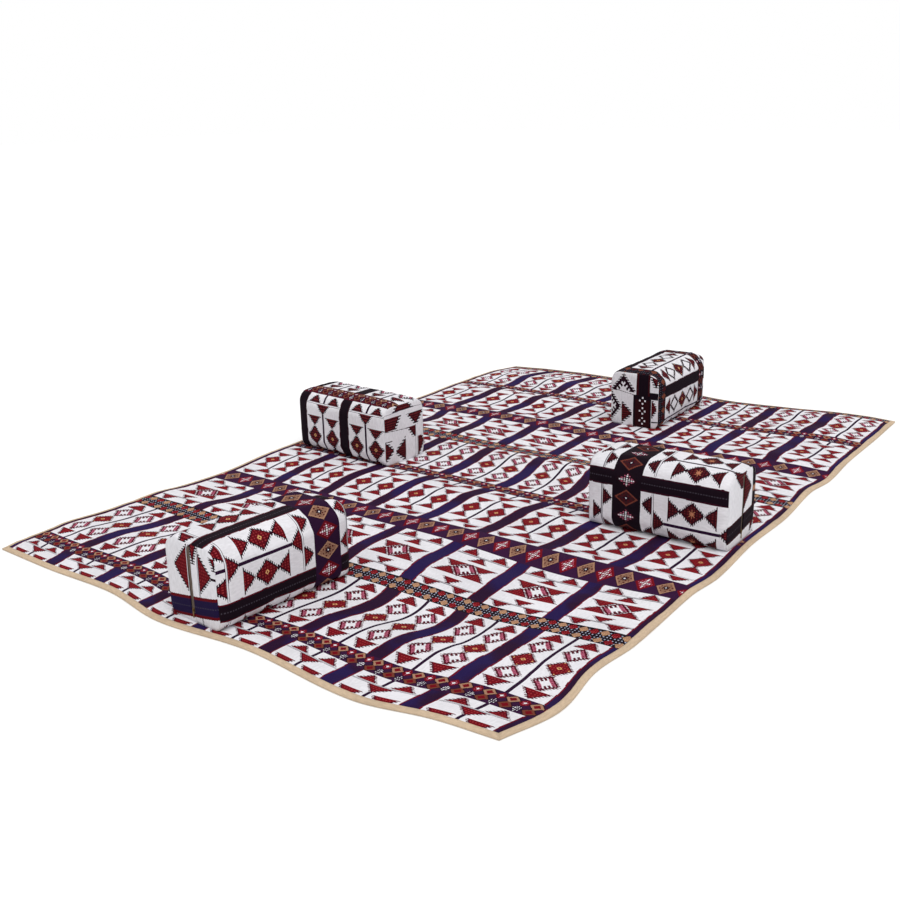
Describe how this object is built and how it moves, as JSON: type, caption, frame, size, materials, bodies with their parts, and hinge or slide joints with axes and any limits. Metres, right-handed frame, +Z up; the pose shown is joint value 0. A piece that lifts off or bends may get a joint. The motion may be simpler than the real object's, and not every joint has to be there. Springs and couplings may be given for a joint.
{
  "type": "majlis floor seating set",
  "caption": "Low floor seating set: a bound, lightly padded rug of traditional woven cloth with loose box-shaped bolster armrests covered in the same cloth.",
  "frame": {"origin": "centre of the rug's underside on the floor", "axes": "+X across the rug, +Y along the rug, +Z up; the armrest called near stands at the -Y edge"},
  "size_m": [2.0984, 3.2003, 0.2593],
  "materials": {
    "woven_cloth": "white ground flat weave with crimson, plum, indigo and tan motifs",
    "wadding": "needled fibre wadding, off-white",
    "backing_cloth": "plain beige cotton weave",
    "binding_tape": "matt beige woven tape",
    "foam": "open-cell cushion foam",
    "zip_tape": "grey-brown woven zip tape",
    "zip_teeth": "moulded zip teeth, satin",
    "zip_metal": "dulled brass zip slider"
  },
  "bodies": {
    "rug": {"rug_face_cloth": "woven_cloth", "rug_pad": "wadding", "rug_backing_cloth": "backing_cloth", "rug_binding_near": "binding_tape", "rug_binding_right": "binding_tape", "rug_binding_far": "binding_tape", "rug_binding_left": "binding_tape"},
    "near_armrest": {"near_armrest_core": "foam", "near_armrest_sleeve": "woven_cloth", "near_armrest_plain_end": "woven_cloth", "near_armrest_zip_end_left": "woven_cloth", "near_armrest_zip_end_right": "woven_cloth", "near_armrest_zip_tape_left": "zip_tape", "near_armrest_zip_tape_right": "zip_tape", "near_armrest_zip_teeth": "zip_teeth"},
    "near_zip_slider": {"near_armrest_zip_slider": "zip_metal"},
    "near_zip_pull": {"near_armrest_zip_pull": "zip_metal"},
    "right_armrest": {"right_armrest_core": "foam", "right_armrest_sleeve": "woven_cloth", "right_armrest_plain_end": "woven_cloth", "right_armrest_zip_end_left": "woven_cloth", "right_armrest_zip_end_right": "woven_cloth", "right_armrest_zip_tape_left": "zip_tape", "right_armrest_zip_tape_right": "zip_tape", "right_armrest_zip_teeth": "zip_teeth"},
    "right_zip_slider": {"right_armrest_zip_slider": "zip_metal"},
    "right_zip_pull": {"right_armrest_zip_pull": "zip_metal"},
    "left_armrest": {"left_armrest_core": "foam", "left_armrest_sleeve": "woven_cloth", "left_armrest_plain_end": "woven_cloth", "left_armrest_zip_end_left": "woven_cloth", "left_armrest_zip_end_right": "woven_cloth", "left_armrest_zip_tape_left": "zip_tape", "left_armrest_zip_tape_right": "zip_tape", "left_armrest_zip_teeth": "zip_teeth"},
    "left_zip_slider": {"left_armrest_zip_slider": "zip_metal"},
    "left_zip_pull": {"left_armrest_zip_pull": "zip_metal"},
    "far_armrest": {"far_armrest_core": "foam", "far_armrest_sleeve": "woven_cloth", "far_armrest_plain_end": "woven_cloth", "far_armrest_zip_end_left": "woven_cloth", "far_armrest_zip_end_right": "woven_cloth", "far_armrest_zip_tape_left": "zip_tape", "far_armrest_zip_tape_right": "zip_tape", "far_armrest_zip_teeth": "zip_teeth"},
    "far_zip_slider": {"far_armrest_zip_slider": "zip_metal"},
    "far_zip_pull": {"far_armrest_zip_pull": "zip_metal"}
  },
  "joints": [
    {"name": "near_armrest_lift", "type": "slide", "parent": "rug", "child": "near_armrest", "axis": [0, 0, 1], "range_m": [0, 0.4]},
    {"name": "near_zip_slide", "type": "slide", "parent": "near_armrest", "child": "near_zip_slider", "axis": [0, 0, 1], "range_m": [0, 0.1824]},
    {"name": "near_pull_swing", "type": "hinge", "parent": "near_zip_slider", "child": "near_zip_pull", "pos_m": [-0.03281, -1.54733, 0.0487], "axis": [-0.9973, 0.0732, 0], "range_deg": [0, 160]},
    {"name": "right_armrest_lift", "type": "slide", "parent": "rug", "child": "right_armrest", "axis": [0, 0, 1], "range_m": [0, 0.4]},
    {"name": "right_zip_slide", "type": "slide", "parent": "right_armrest", "child": "right_zip_slider", "axis": [0, 0, 1], "range_m": [0, 0.1824]},
    {"name": "right_pull_swing", "type": "hinge", "parent": "right_zip_slider", "child": "right_zip_pull", "pos_m": [0.99445, -0.14693, 0.0487], "axis": [0.0192, -0.9998, 0], "range_deg": [0, 160]},
    {"name": "left_armrest_lift", "type": "slide", "parent": "rug", "child": "left_armrest", "axis": [0, 0, 1], "range_m": [0, 0.4]},
    {"name": "left_zip_slide", "type": "slide", "parent": "left_armrest", "child": "left_zip_slider", "axis": [0, 0, 1], "range_m": [0, 0.1824]},
    {"name": "left_pull_swing", "type": "hinge", "parent": "left_zip_slider", "child": "left_zip_pull", "pos_m": [-0.95558, -0.04718, 0.0487], "axis": [0.0663, 0.9978, 0], "range_deg": [0, 160]},
    {"name": "far_armrest_lift", "type": "slide", "parent": "rug", "child": "far_armrest", "axis": [0, 0, 1], "range_m": [0, 0.4]},
    {"name": "far_zip_slide", "type": "slide", "parent": "far_armrest", "child": "far_zip_slider", "axis": [0, 0, 1], "range_m": [0, 0.1824]},
    {"name": "far_pull_swing", "type": "hinge", "parent": "far_zip_slider", "child": "far_zip_pull", "pos_m": [0.06528, 1.34788, 0.0487], "axis": [0.9995, 0.0314, 0], "range_deg": [0, 160]}
  ]
}
